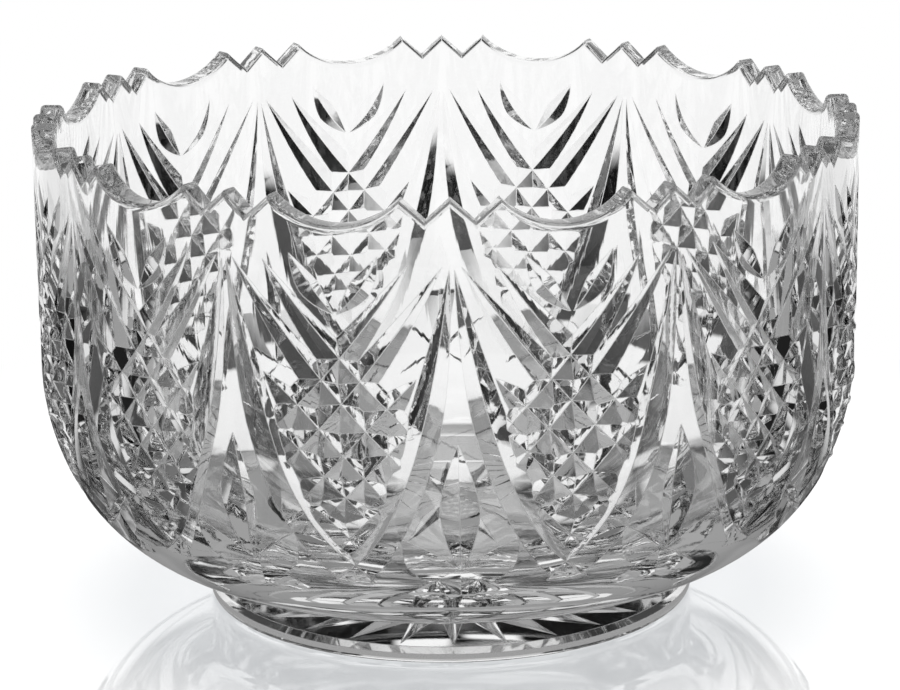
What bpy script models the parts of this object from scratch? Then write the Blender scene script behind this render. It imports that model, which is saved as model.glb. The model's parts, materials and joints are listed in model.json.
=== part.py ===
"""Cut crystal bowl on an applied foot.

Metres, +Z up. The origin is the centre of the face that the foot rests on.
Two glass pieces: the blown and cut body, and the thick foot that carries it.
The cut pattern repeats round the wall in mirrored halves, so one half of one
repeat is cut from a wedge of the wall and the wedge is then laid round the axis.
"""
import math
from collections import namedtuple

import bmesh
import bpy
from mathutils import Matrix, Vector

MM = 0.001

# Body
RIM_DIAMETER = 203.0 * MM
HEIGHT = 123.0 * MM
WALL = 6.0 * MM
RIM_ROUND = 1.3 * MM
SHOULDER_RISE = 49.7 * MM
BASE_THICKNESS = 11.7 * MM
FLOOR_DIAMETER = 120.0 * MM

# Foot
FOOT_DIAMETER = 122.0 * MM
FOOT_HEIGHT = 12.0 * MM
FOOT_EDGE = 2.0 * MM
FOOT_LEDGE = 1.0 * MM
REST_WIDTH = 11.0 * MM
RECESS_DEPTH = 1.5 * MM
STAR_DEPTH = 3.5 * MM
STAR_POINTS = 24
STAR_MARGIN = 2.0 * MM
STAR_HUB_DIAMETER = 36.0 * MM
JOINT_GAP = 0.3 * MM

# Rim: three points to a repeat, then a long scallop
REPEATS = 12
POINT_PITCH = math.radians(6.45)
NOTCH_DEPTH = 5.0 * MM
SCALLOP_DEPTH = 6.2 * MM
SCALLOP_STEPS = 2

# Cut panel: its head is this far under the rim points, its foot this far above the joint
PANEL_DROP = 11.5 * MM
PANEL_LIFT = 18.7 * MM
WHEEL_HALF_ANGLE = math.radians(55.0)
RUN_OUT = 0.3 * MM
CUTTER_HEADROOM = 2.5 * MM

# Depths of the cuts
STEM_DEPTH = 2.75 * MM
FAN_DEPTH = 2.7 * MM
LEAF_DEPTH = 1.8 * MM
LANCE_DEPTH = 3.3 * MM
SKIRT_DEPTH = 2.0 * MM
SKIRT_LEAN = math.radians(-22.0)

# Smoothness
SHOULDER_STEPS = 6
INSIDE_STEPS = 5
FOOT_STEPS = 72
EDGE_STEPS = 3
SHARP_ANGLE = math.radians(14.0)
FLAT_ANGLE = math.radians(4.0)
WELD = 0.02 * MM

# Worked out from the sizes above
HALF_REPEAT = math.pi / REPEATS
RIM_RADIUS = RIM_DIAMETER / 2
INSIDE_RADIUS = RIM_RADIUS - WALL
FLOOR_RADIUS = FLOOR_DIAMETER / 2
FOOT_RADIUS = FOOT_DIAMETER / 2
JOINT_RADIUS = FOOT_RADIUS - FOOT_LEDGE
BODY_SEAT = FOOT_HEIGHT + JOINT_GAP
BODY_HEIGHT = HEIGHT - BODY_SEAT
CORE_RADIUS = 0.7 * min(FLOOR_RADIUS, JOINT_RADIUS)
PANEL_HEAD = BODY_HEIGHT - PANEL_DROP

# Mirror planes of a repeat, where a cut that crosses one meets its twin
MIDDLE = (0.0,)
EDGE = (HALF_REPEAT,)

# A cut bends from its start to its end on the panel, where (across, up) is (0, 0) at the foot of a
# repeat's middle line and (1, 1) at the head of the line where it meets its mirrored neighbour.
# Run-in and run-out are the shares of its length over which the wheel sinks in and comes out.
Cut = namedtuple("Cut", "start bend end depth run_in run_out lean steps planes")
CUTS = {
    "stem": Cut((0.0, 1.0), (0.37, 0.085), (1.22, 0.0), STEM_DEPTH, 0.22, 0.16, 0.0, 8, MIDDLE + EDGE),
    "fan_inner": Cut((0.0, 1.0), (0.80, 0.59), (1.57, 0.36), FAN_DEPTH, 0.55, 0.10, 0.0, 5, MIDDLE + EDGE),
    "fan_outer": Cut((0.32, 0.99), (0.83, 0.715), (1.62, 0.475), FAN_DEPTH, 0.50, 0.10, 0.0, 5, EDGE),
    "lattice_upper": Cut((0.30, 0.65), (0.85, 0.455), (1.40, 0.26), FAN_DEPTH, 0.30, 0.12, 0.0, 4, EDGE),
    "lattice_middle": Cut((0.39, 0.485), (0.81, 0.34), (1.23, 0.195), FAN_DEPTH, 0.20, 0.16, 0.0, 3, EDGE),
    "lattice_lower": Cut((0.66, 0.255), (0.88, 0.18), (1.10, 0.105), FAN_DEPTH, 0.20, 0.30, 0.0, 2, EDGE),
    "leaf": Cut((0.60, 1.0), (0.74, 0.885), (1.02, 0.81), LEAF_DEPTH, 0.50, 0.50, 0.0, 4, EDGE),
    "lance": Cut((0.0, 0.465), (0.0, 0.25), (0.0, 0.03), LANCE_DEPTH, 0.50, 0.50, 0.0, 5, ()),
    "skirt": Cut((0.54, 0.172), (0.0, 0.0), (-0.54, -0.035), SKIRT_DEPTH, 0.25, 0.30, SKIRT_LEAN, 5, MIDDLE),
}


def clear_scene():
    for item in list(bpy.data.objects):
        bpy.data.objects.remove(item, do_unlink=True)


def glass(name, tint):
    material = bpy.data.materials.new(name)
    material.use_nodes = True
    shader = material.node_tree.nodes["Principled BSDF"]
    shader.inputs["Base Color"].default_value = tint
    shader.inputs["Roughness"].default_value = 0.02
    shader.inputs["Metallic"].default_value = 0.0
    shader.inputs["Transmission Weight"].default_value = 1.0
    shader.inputs["IOR"].default_value = 1.545
    return material


def add_object(name, mesh, material, height):
    mesh.materials.clear()
    mesh.materials.append(material)
    mesh.shade_smooth()
    mesh.set_sharp_from_angle(angle=SHARP_ANGLE)
    item = bpy.data.objects.new(name, mesh)
    item.location.z = height
    bpy.context.scene.collection.objects.link(item)
    return item


# Turned shape of the body, with height 0 on the joint
def shoulder_share(height):
    """How far the shoulder has turned under at a height: 0 on the straight wall, 1 at the joint."""
    return min(1.0, max(0.0, (SHOULDER_RISE - height) / SHOULDER_RISE))


def outer_radius(height):
    turned = shoulder_share(height)
    return JOINT_RADIUS + (RIM_RADIUS - JOINT_RADIUS) * math.sqrt(1.0 - turned * turned)


def outer_point(angle, height):
    radius = outer_radius(height)
    return Vector((radius * math.cos(angle), radius * math.sin(angle), height))


def outer_normal(angle, height):
    out = (outer_radius(height) - JOINT_RADIUS) / (RIM_RADIUS - JOINT_RADIUS) ** 2
    down = shoulder_share(height) / SHOULDER_RISE
    return Vector((out * math.cos(angle), out * math.sin(angle), -down)).normalized()


def rim_height(any_angle):
    """Height of the rim's crest; past a repeat's middle or edge the rim is its own mirror image."""
    angle = abs(any_angle)
    if angle > HALF_REPEAT:
        angle = 2 * HALF_REPEAT - angle
    if angle <= POINT_PITCH:
        return BODY_HEIGHT - NOTCH_DEPTH * (1.0 - abs(2.0 * angle / POINT_PITCH - 1.0))
    half_chord = RIM_RADIUS * (HALF_REPEAT - POINT_PITCH)
    scallop_radius = (half_chord ** 2 + SCALLOP_DEPTH ** 2) / (2.0 * SCALLOP_DEPTH)
    along = RIM_RADIUS * (HALF_REPEAT - angle)
    sag = scallop_radius - math.sqrt(scallop_radius ** 2 - along ** 2)
    return BODY_HEIGHT - SCALLOP_DEPTH + sag


def quarter(centre_radius, centre_height, reach, drop, steps):
    """Quarter ellipse from under its centre to the point beside it, both ends included."""
    points = []
    for step in range(steps + 1):
        turn = math.pi / 2 * step / steps
        points.append((centre_radius + reach * math.sin(turn), centre_height - drop * math.cos(turn)))
    return points


def wall_section(angle):
    """Closed half section of the wall, from the underside's core round the rim to the floor's core."""
    crest = rim_height(angle)
    reach = RIM_RADIUS - JOINT_RADIUS
    section = [(CORE_RADIUS, 0.0)]
    section += quarter(JOINT_RADIUS, SHOULDER_RISE, reach, SHOULDER_RISE, SHOULDER_STEPS)
    section += [(RIM_RADIUS, crest - RIM_ROUND), (RIM_RADIUS - RIM_ROUND, crest)]
    section += [(INSIDE_RADIUS + RIM_ROUND, crest), (INSIDE_RADIUS, crest - RIM_ROUND)]
    inside = quarter(FLOOR_RADIUS, SHOULDER_RISE, INSIDE_RADIUS - FLOOR_RADIUS,
                     SHOULDER_RISE - BASE_THICKNESS, INSIDE_STEPS)
    section += reversed(inside)
    section.append((CORE_RADIUS, BASE_THICKNESS))
    return section


def wedge_angles():
    """Columns of the wedge, with one more past each mirror plane for the cuts to run through."""
    angles = [-POINT_PITCH / 2, 0.0, POINT_PITCH / 2, POINT_PITCH]
    for step in range(1, SCALLOP_STEPS + 2):
        angles.append(POINT_PITCH + (HALF_REPEAT - POINT_PITCH) * step / SCALLOP_STEPS)
    return angles


def mesh_from(bm, name):
    bmesh.ops.recalc_face_normals(bm, faces=bm.faces)
    mesh = bpy.data.meshes.new(name)
    bm.to_mesh(mesh)
    bm.free()
    return mesh


def wedge_mesh():
    bm = bmesh.new()
    columns = []
    for angle in wedge_angles():
        section = wall_section(angle)
        spot = (math.cos(angle), math.sin(angle))
        columns.append([bm.verts.new((r * spot[0], r * spot[1], z)) for r, z in section])
    count = len(columns[0])
    for left, right in zip(columns, columns[1:]):
        for row in range(count):
            following = (row + 1) % count
            bm.faces.new((left[row], left[following], right[following], right[row]))
    bm.faces.new(columns[0])
    bm.faces.new(columns[-1])
    return mesh_from(bm, "wall_wedge")


# Cuts
def cut_spot(cut, share):
    """Angle and height of a cut's bottom line, on the uncut surface, at a share of its length."""
    rest = 1.0 - share
    weights = (rest * rest, 2.0 * rest * share, share * share)
    points = (cut.start, cut.bend, cut.end)
    across, up = (sum(w * p[axis] for w, p in zip(weights, points)) for axis in (0, 1))
    return across * HALF_REPEAT, PANEL_LIFT + up * (PANEL_HEAD - PANEL_LIFT)


def cut_depth(cut, share):
    """Wheel depth along a cut: it enters and leaves along a parabola and ends just off the glass."""
    nearest = min(1.0, share / cut.run_in, (1.0 - share) / cut.run_out)
    return (cut.depth + RUN_OUT) * (1.0 - (1.0 - nearest) ** 2) - RUN_OUT


def cutter_mesh(cut):
    """Prism with the wheel's V section, swept along a cut."""
    shares = [step / cut.steps for step in range(cut.steps + 1)]
    spots = [cut_spot(cut, share) for share in shares]
    path = [outer_point(*spot) for spot in spots]
    bm = bmesh.new()
    rings = []
    for step, spot in enumerate(spots):
        normal = outer_normal(*spot)
        ahead = path[min(step + 1, cut.steps)] - path[max(step - 1, 0)]
        side = ahead.cross(normal).normalized()
        axis = normal * math.cos(cut.lean) + side * math.sin(cut.lean)
        flank = side * math.cos(cut.lean) - normal * math.sin(cut.lean)
        deep = cut_depth(cut, shares[step])
        half_width = (deep + CUTTER_HEADROOM) * math.tan(WHEEL_HALF_ANGLE)
        top = path[step] + axis * CUTTER_HEADROOM
        corners = (path[step] - axis * deep, top + flank * half_width, top - flank * half_width)
        rings.append([bm.verts.new(corner) for corner in corners])
    for near, far in zip(rings, rings[1:]):
        for corner in range(3):
            following = (corner + 1) % 3
            bm.faces.new((near[corner], near[following], far[following]))
            bm.faces.new((near[corner], far[following], far[corner]))
    bm.faces.new(rings[0])
    bm.faces.new(rings[-1])
    return mesh_from(bm, "wheel_cut")


def mirrored(mesh, plane_angle):
    """Twin of a cutter across the upright plane at an angle through the axis."""
    twin = mesh.copy()
    cosine = math.cos(2 * plane_angle)
    sine = math.sin(2 * plane_angle)
    for vert in twin.vertices:
        x, y, z = vert.co
        vert.co = (cosine * x + sine * y, sine * x - cosine * y, z)
    twin.flip_normals()
    return twin


def cutter_collection():
    """Every cut that reaches the wedge: each one and its twins across the planes that it crosses."""
    cutters = bpy.data.collections.new("cutters")
    bpy.context.scene.collection.children.link(cutters)
    for name, cut in CUTS.items():
        mesh = cutter_mesh(cut)
        for twin in [mesh] + [mirrored(mesh, plane) for plane in cut.planes]:
            cutter = bpy.data.objects.new("cutter_" + name, twin)
            cutter.hide_render = True
            cutter.display_type = "WIRE"
            cutters.objects.link(cutter)
    return cutters


def cut_wedge():
    """A wedge of the wall with every cut taken out."""
    wedge = bpy.data.objects.new("wall_wedge", wedge_mesh())
    bpy.context.scene.collection.objects.link(wedge)
    cutters = cutter_collection()
    taken = wedge.modifiers.new("cuts", "BOOLEAN")
    taken.operation = "DIFFERENCE"
    taken.solver = "EXACT"
    taken.operand_type = "COLLECTION"
    taken.collection = cutters
    graph = bpy.context.evaluated_depsgraph_get()
    mesh = bpy.data.meshes.new_from_object(wedge.evaluated_get(graph))
    for item in [*cutters.objects, wedge]:
        bpy.data.objects.remove(item, do_unlink=True)
    bpy.data.collections.remove(cutters)
    return mesh


def trim_to_half(bm):
    """Trim the wedge at its two mirror planes and open its core face."""
    planes = (Vector((0.0, -1.0, 0.0)), Vector((-math.sin(HALF_REPEAT), math.cos(HALF_REPEAT), 0.0)))
    for outward in planes:
        geometry = bm.verts[:] + bm.edges[:] + bm.faces[:]
        bmesh.ops.bisect_plane(bm, geom=geometry, dist=WELD, plane_co=(0.0, 0.0, 0.0),
                               plane_no=outward, clear_outer=True)
        for vert in bm.verts:
            off = vert.co.dot(outward)
            if abs(off) < WELD:
                vert.co -= outward * off
    core = [f for f in bm.faces if all(v.co.xy.length < CORE_RADIUS + WELD for v in f.verts)]
    bmesh.ops.delete(bm, geom=core, context="FACES")


def lay_round(mesh):
    """Mirror the cut half repeat, lay it round the axis and close the floor and the underside."""
    bm = bmesh.new()
    bm.from_mesh(mesh)
    trim_to_half(bm)
    bmesh.ops.remove_doubles(bm, verts=bm.verts, dist=WELD)
    bmesh.ops.dissolve_limit(bm, angle_limit=FLAT_ANGLE, verts=bm.verts, edges=bm.edges)
    bmesh.ops.triangulate(bm, faces=bm.faces)
    half = bm.verts[:] + bm.edges[:] + bm.faces[:]
    twin = bmesh.ops.duplicate(bm, geom=half)["geom"]
    twin_faces = [g for g in twin if isinstance(g, bmesh.types.BMFace)]
    for vert in (g for g in twin if isinstance(g, bmesh.types.BMVert)):
        vert.co.y = -vert.co.y
    bmesh.ops.reverse_faces(bm, faces=twin_faces)
    repeat = bm.verts[:] + bm.edges[:] + bm.faces[:]
    for number in range(1, REPEATS):
        copied = bmesh.ops.duplicate(bm, geom=repeat)["geom"]
        copied_verts = [g for g in copied if isinstance(g, bmesh.types.BMVert)]
        bmesh.ops.rotate(bm, verts=copied_verts, matrix=Matrix.Rotation(2 * HALF_REPEAT * number, 3, "Z"))
    bmesh.ops.remove_doubles(bm, verts=bm.verts, dist=WELD)
    core_loops = [edge for edge in bm.edges if edge.is_boundary]
    bmesh.ops.holes_fill(bm, edges=core_loops, sides=0)
    turn_to_front = Matrix.Rotation(-math.pi / 2, 3, "Z")
    bmesh.ops.rotate(bm, verts=bm.verts, matrix=turn_to_front)
    return mesh_from(bm, "bowl_body")


def make_body():
    crystal = glass("body_crystal", (0.97, 0.98, 0.98, 1.0))
    return add_object("bowl_body", lay_round(cut_wedge()), crystal, BODY_SEAT)


# Foot
def foot_section():
    """Turned half section of the foot, from the middle of its top out and round to the recess."""
    recess_radius = FOOT_RADIUS - FOOT_EDGE - REST_WIDTH
    section = [(FOOT_RADIUS, FOOT_HEIGHT)]
    for step in range(EDGE_STEPS + 1):
        turn = math.pi / 2 * step / EDGE_STEPS
        radius = FOOT_RADIUS - FOOT_EDGE * (1.0 - math.cos(turn))
        section.append((radius, FOOT_EDGE * (1.0 - math.sin(turn))))
    section.append((recess_radius, 0.0))
    section.append((recess_radius - RECESS_DEPTH, RECESS_DEPTH))
    return section


def foot_mesh():
    """Turned pad with a many-pointed star cut up into the recess under it."""
    bm = bmesh.new()
    rings = []
    for radius, height in foot_section():
        ring = []
        for step in range(FOOT_STEPS):
            angle = 2 * math.pi * step / FOOT_STEPS
            ring.append(bm.verts.new((radius * math.cos(angle), radius * math.sin(angle), height)))
        rings.append(ring)
    for upper, lower in zip(rings, rings[1:]):
        for step in range(FOOT_STEPS):
            following = (step + 1) % FOOT_STEPS
            bm.faces.new((upper[step], lower[step], lower[following], upper[following]))
    bm.faces.new(rings[0])
    bm.faces.new(rings[-1])
    return mesh_from(bm, "foot")


def star_mesh():
    """Cutter for the star: ridged points that rise towards the middle of the foot."""
    reach = FOOT_RADIUS - FOOT_EDGE - REST_WIDTH - RECESS_DEPTH - STAR_MARGIN
    bm = bmesh.new()
    middle = bm.verts.new((0.0, 0.0, RECESS_DEPTH + STAR_DEPTH))
    lid = []
    base = []
    for step in range(2 * STAR_POINTS):
        angle = math.pi * step / STAR_POINTS
        radius = reach if step % 2 == 0 else STAR_HUB_DIAMETER / 2
        spot = (radius * math.cos(angle), radius * math.sin(angle))
        lid.append(bm.verts.new((*spot, RECESS_DEPTH)))
        base.append(bm.verts.new((*spot, -RECESS_DEPTH)))
    for step in range(2 * STAR_POINTS):
        following = (step + 1) % (2 * STAR_POINTS)
        bm.faces.new((middle, lid[step], lid[following]))
        bm.faces.new((lid[step], base[step], base[following], lid[following]))
    bm.faces.new(base)
    return mesh_from(bm, "star_cut")


def make_foot():
    foot = add_object("foot", foot_mesh(), glass("foot_crystal", (0.96, 0.975, 0.98, 1.0)), 0.0)
    star = bpy.data.objects.new("cutter_star", star_mesh())
    star.hide_render = True
    star.display_type = "WIRE"
    bpy.context.scene.collection.objects.link(star)
    taken = foot.modifiers.new("star", "BOOLEAN")
    taken.operation = "DIFFERENCE"
    taken.solver = "EXACT"
    taken.object = star
    return foot


def main():
    clear_scene()
    bowl = bpy.data.objects.new("bowl", None)
    bpy.context.scene.collection.objects.link(bowl)
    for piece in (make_foot(), make_body()):
        piece.parent = bowl


main()
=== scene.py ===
# %% [markdown]
# # A cut crystal bowl
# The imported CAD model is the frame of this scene: it fixes where every piece sits and how large it is.
# This lesson dresses it. The two solids of the frame, the cut body and the applied foot, are replaced
# by finer meshes of the same shape, because clear glass shows every facet twice: once where light
# enters it and once where light leaves.

# %% Load the frame
import json
import math
from collections import namedtuple

import bmesh
import bpy
from mathutils import Matrix, Vector

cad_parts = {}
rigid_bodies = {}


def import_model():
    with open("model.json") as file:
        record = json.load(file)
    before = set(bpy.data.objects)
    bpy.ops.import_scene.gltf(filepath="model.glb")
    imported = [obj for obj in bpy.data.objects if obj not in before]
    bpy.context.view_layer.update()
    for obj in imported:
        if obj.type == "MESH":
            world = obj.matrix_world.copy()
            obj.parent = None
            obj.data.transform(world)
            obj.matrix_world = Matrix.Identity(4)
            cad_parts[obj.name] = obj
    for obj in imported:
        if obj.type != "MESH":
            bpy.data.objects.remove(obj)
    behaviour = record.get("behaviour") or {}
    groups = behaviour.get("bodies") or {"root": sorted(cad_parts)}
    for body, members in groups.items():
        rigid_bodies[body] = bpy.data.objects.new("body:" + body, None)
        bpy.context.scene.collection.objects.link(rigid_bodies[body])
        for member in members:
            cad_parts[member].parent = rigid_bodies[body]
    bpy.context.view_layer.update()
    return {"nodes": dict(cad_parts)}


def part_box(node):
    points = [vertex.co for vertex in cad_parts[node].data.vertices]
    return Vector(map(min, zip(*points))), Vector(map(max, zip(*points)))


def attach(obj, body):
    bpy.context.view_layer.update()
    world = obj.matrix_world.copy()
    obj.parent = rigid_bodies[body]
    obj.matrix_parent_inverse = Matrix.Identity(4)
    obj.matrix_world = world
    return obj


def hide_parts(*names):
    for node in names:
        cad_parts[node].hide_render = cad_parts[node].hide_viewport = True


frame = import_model()
print("frame nodes:", sorted(frame["nodes"]))

# %% [markdown]
# ## Sizes
# The outside sizes are read from the frame, so the dressed bowl keeps to the CAD model. What the boxes
# of the frame can't tell, such as the thickness of the wall, is repeated here in millimetres.

# %% Sizes of the body and the foot
MM = 0.001
body_low, body_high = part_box("bowl_body")
foot_low, foot_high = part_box("foot")

RIM_RADIUS = body_high.x
RIM_HEIGHT = body_high.z
SEAT = body_low.z
WALL = 6.0 * MM
RIM_ROUND = 1.3 * MM
SHOULDER_RISE = 49.7 * MM
BASE_THICKNESS = 11.7 * MM
FLOOR_RADIUS = 60.0 * MM

FOOT_RADIUS = foot_high.x
FOOT_TOP = foot_high.z
FOOT_EDGE = 2.0 * MM
FOOT_LEDGE = 1.0 * MM
FUSED_GAP = 0.02 * MM

INSIDE_RADIUS = RIM_RADIUS - WALL
JOINT_RADIUS = FOOT_RADIUS - FOOT_LEDGE
BODY_HEIGHT = RIM_HEIGHT - SEAT
LIP = SEAT - FOOT_TOP - FUSED_GAP
CORE_RADIUS = 0.7 * FLOOR_RADIUS
print(f"rim {2 * RIM_RADIUS / MM:.1f} mm across, {RIM_HEIGHT / MM:.1f} mm high")
print(f"foot {2 * FOOT_RADIUS / MM:.1f} mm across")

# %% [markdown]
# ## Camera
# The view was found by fitting a camera to the points of the rim and of the cut pattern: a long lens a
# little under a metre away that looks down at about 15 degrees. The small turn and roll are the ones
# that the fit gave. A turn of the bowl on the table is made by walking the camera round it instead,
# because the frame never moves.

# %% Camera
CAMERA_DISTANCE = 0.8571
CAMERA_HEIGHT = 0.2984
CAMERA_ASIDE = 0.00044
CAMERA_PITCH = math.radians(15.386)
CAMERA_ROLL = math.radians(0.716)
CAMERA_WALK = math.radians(-0.469)
LENS_MM = 141.77

walk = Matrix.Rotation(CAMERA_WALK, 4, "Z")
stand = Matrix.Translation((CAMERA_ASIDE, -CAMERA_DISTANCE, CAMERA_HEIGHT))
tilt = Matrix.Rotation(math.pi / 2 - CAMERA_PITCH, 4, "X") @ Matrix.Rotation(-CAMERA_ROLL, 4, "Z")
camera = bpy.data.objects.new("camera", bpy.data.cameras.new("camera"))
camera.data.lens = LENS_MM
camera.data.clip_start = 0.01
camera.matrix_world = walk @ stand @ tilt
bpy.context.scene.collection.objects.link(camera)
bpy.context.scene.camera = camera
print("camera at", [round(c, 3) for c in camera.matrix_world.translation])

# %% [markdown]
# ## The blown wall
# Before it is cut, the body is a plain turned shape: a straight wall, a shoulder that turns under along
# a quarter of an ellipse, and a thick base. Only the rim is not turned. Its crest has three points to a
# repeat and then a long scallop. Spinning a profile would lose those points, so the wall is built as
# columns of one section whose top follows the crest.

# %% Turned shape and rim crest
REPEATS = 12
HALF_REPEAT = math.pi / REPEATS
POINT_PITCH = math.radians(6.45)
NOTCH_DEPTH = 5.0 * MM
SCALLOP_DEPTH = 6.2 * MM


def shoulder_share(height):
    """How far the shoulder has turned under: 0 on the straight wall, 1 at the joint."""
    return min(1.0, max(0.0, (SHOULDER_RISE - height) / SHOULDER_RISE))


def outer_radius(height):
    turned = shoulder_share(height)
    return JOINT_RADIUS + (RIM_RADIUS - JOINT_RADIUS) * math.sqrt(1.0 - turned * turned)


def outer_point(angle, height):
    radius = outer_radius(height)
    return Vector((radius * math.cos(angle), radius * math.sin(angle), height))


def outer_normal(angle, height):
    out = (outer_radius(height) - JOINT_RADIUS) / (RIM_RADIUS - JOINT_RADIUS) ** 2
    down = shoulder_share(height) / SHOULDER_RISE
    return Vector((out * math.cos(angle), out * math.sin(angle), -down)).normalized()


def crest_height(any_angle):
    """Height of the rim; past a repeat's middle or edge it is its own mirror image."""
    angle = abs(any_angle)
    if angle > HALF_REPEAT:
        angle = 2 * HALF_REPEAT - angle
    if angle <= POINT_PITCH:
        return BODY_HEIGHT - NOTCH_DEPTH * (1.0 - abs(2.0 * angle / POINT_PITCH - 1.0))
    half_chord = RIM_RADIUS * (HALF_REPEAT - POINT_PITCH)
    scallop_radius = (half_chord ** 2 + SCALLOP_DEPTH ** 2) / (2.0 * SCALLOP_DEPTH)
    along = RIM_RADIUS * (HALF_REPEAT - angle)
    sag = scallop_radius - math.sqrt(scallop_radius ** 2 - along ** 2)
    return BODY_HEIGHT - SCALLOP_DEPTH + sag


print(f"rim crest from {crest_height(HALF_REPEAT) / MM:.1f} to {BODY_HEIGHT / MM:.1f} mm above the joint")

# %% Section and wedge of the wall
SHOULDER_STEPS = 28
RIM_STEPS = 5
SUPPORT = 0.5 * MM
WEDGE_STEPS = ((-POINT_PITCH / 2, 0.0, 4), (0.0, POINT_PITCH / 2, 4), (POINT_PITCH / 2, POINT_PITCH, 4),
               (POINT_PITCH, HALF_REPEAT, 10), (HALF_REPEAT, HALF_REPEAT + POINT_PITCH / 2, 4))


def arc(centre, reach, rise, start, end, steps):
    """Points (radius, height) along an elliptical arc; angle 0 points outward and 90 degrees up."""
    points = []
    for step in range(steps + 1):
        turn = start + (end - start) * step / steps
        points.append((centre[0] + reach * math.cos(turn), centre[1] + rise * math.sin(turn)))
    return points


def wall_section(angle):
    """Closed half section of the wall, from the underside's core round the rim to the floor's core."""
    crest = crest_height(angle) - RIM_ROUND
    quarter = math.pi / 2
    outside = ((JOINT_RADIUS, SHOULDER_RISE), RIM_RADIUS - JOINT_RADIUS, SHOULDER_RISE)
    inside = ((FLOOR_RADIUS, SHOULDER_RISE), INSIDE_RADIUS - FLOOR_RADIUS, SHOULDER_RISE - BASE_THICKNESS)
    section = [(CORE_RADIUS, -LIP), (JOINT_RADIUS, -LIP)]
    section += arc(*outside, -quarter, 0.0, SHOULDER_STEPS)
    section += [(RIM_RADIUS, SHOULDER_RISE + SUPPORT), (RIM_RADIUS, crest - SUPPORT)]
    section += arc((RIM_RADIUS - RIM_ROUND, crest), RIM_ROUND, RIM_ROUND, 0.0, quarter, RIM_STEPS)
    section += arc((INSIDE_RADIUS + RIM_ROUND, crest), RIM_ROUND, RIM_ROUND, quarter, 2 * quarter, RIM_STEPS)
    section += [(INSIDE_RADIUS, crest - SUPPORT), (INSIDE_RADIUS, SHOULDER_RISE + SUPPORT)]
    section += arc(*inside, 0.0, -quarter, SHOULDER_STEPS)
    section.append((CORE_RADIUS, BASE_THICKNESS))
    return section


def mesh_from(bm, name):
    bmesh.ops.recalc_face_normals(bm, faces=bm.faces)
    mesh = bpy.data.meshes.new(name)
    bm.to_mesh(mesh)
    bm.free()
    return mesh


def wedge_angles():
    angles = [WEDGE_STEPS[0][0]]
    for start, end, steps in WEDGE_STEPS:
        angles += [start + (end - start) * (step + 1) / steps for step in range(steps)]
    return angles


def wedge_mesh():
    bm = bmesh.new()
    columns = []
    for angle in wedge_angles():
        spot = (math.cos(angle), math.sin(angle))
        columns.append([bm.verts.new((r * spot[0], r * spot[1], z)) for r, z in wall_section(angle)])
    count = len(columns[0])
    for left, right in zip(columns, columns[1:]):
        for row in range(count):
            following = (row + 1) % count
            bm.faces.new((left[row], left[following], right[following], right[row]))
    bm.faces.new(columns[0])
    bm.faces.new(columns[-1])
    return mesh_from(bm, "wall_wedge")


print("section points:", len(wall_section(0.0)), "columns:", len(wedge_angles()))

# %% [markdown]
# ## The wheel cuts
# A cutter holds the bowl against a turning stone wheel with a V edge. Each cut is a curved groove that
# sinks in, runs and comes out again. A cut is drawn here as a bent line on a panel, where (0, 0) is the
# foot of a repeat's middle line and (1, 1) the head of the line where it meets its mirrored neighbour.
# A prism with the wheel's V section is swept along that line, and a Boolean takes it out of the wall.
# The grooves could be faked by a bump map, but glass bends light at real facets only.

# %% The pattern
PANEL_DROP = 11.5 * MM
PANEL_LIFT = 18.7 * MM
PANEL_HEAD = BODY_HEIGHT - PANEL_DROP
MITRE = math.radians(60.0)
SKIRT_WHEEL = math.radians(55.0)
SKIRT_LEAN = math.radians(-22.0)
RUN_OUT = 0.3 * MM
RAMP = 1.5
HEADROOM = 2.5 * MM
MIDDLE = (0.0,)
EDGE = (HALF_REPEAT,)

Cut = namedtuple("Cut", "start bend end half_width run_in run_out steps planes wheel lean",
                 defaults=(MITRE, 0.0))
CUTS = {
    "stem": Cut((0.0, 1.0), (0.37, 0.085), (1.22, 0.0), 4.2 * MM, 0.34, 0.16, 28, MIDDLE + EDGE),
    "fan_inner": Cut((0.0, 1.0), (0.80, 0.59), (1.57, 0.36), 3.86 * MM, 0.60, 0.10, 20, MIDDLE + EDGE),
    "fan_outer": Cut((0.32, 0.99), (0.83, 0.715), (1.62, 0.475), 3.86 * MM, 0.60, 0.10, 18, EDGE),
    "lattice_upper": Cut((0.30, 0.65), (0.85, 0.455), (1.40, 0.26), 3.86 * MM, 0.30, 0.12, 14, EDGE),
    "lattice_middle": Cut((0.39, 0.485), (0.81, 0.34), (1.23, 0.195), 3.86 * MM, 0.20, 0.16, 12, EDGE),
    "lattice_lower": Cut((0.66, 0.255), (0.88, 0.18), (1.10, 0.105), 3.86 * MM, 0.20, 0.30, 8, EDGE),
    "leaf": Cut((0.60, 1.0), (0.74, 0.885), (1.02, 0.81), 2.57 * MM, 0.50, 0.50, 16, EDGE),
    "lance": Cut((0.0, 0.465), (0.0, 0.25), (0.0, 0.03), 4.71 * MM, 0.50, 0.50, 18, ()),
    "skirt": Cut((0.54, 0.172), (0.0, 0.0), (-0.54, -0.035), 2.86 * MM, 0.25, 0.30, 18, MIDDLE,
                 SKIRT_WHEEL, SKIRT_LEAN),
}


def cut_spot(cut, share):
    """Angle and height of a cut's bottom line, on the uncut surface, at a share of its length."""
    rest = 1.0 - share
    weights = (rest * rest, 2.0 * rest * share, share * share)
    points = (cut.start, cut.bend, cut.end)
    across, up = (sum(w * p[axis] for w, p in zip(weights, points)) for axis in (0, 1))
    return across * HALF_REPEAT, PANEL_LIFT + up * (PANEL_HEAD - PANEL_LIFT)


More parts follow.
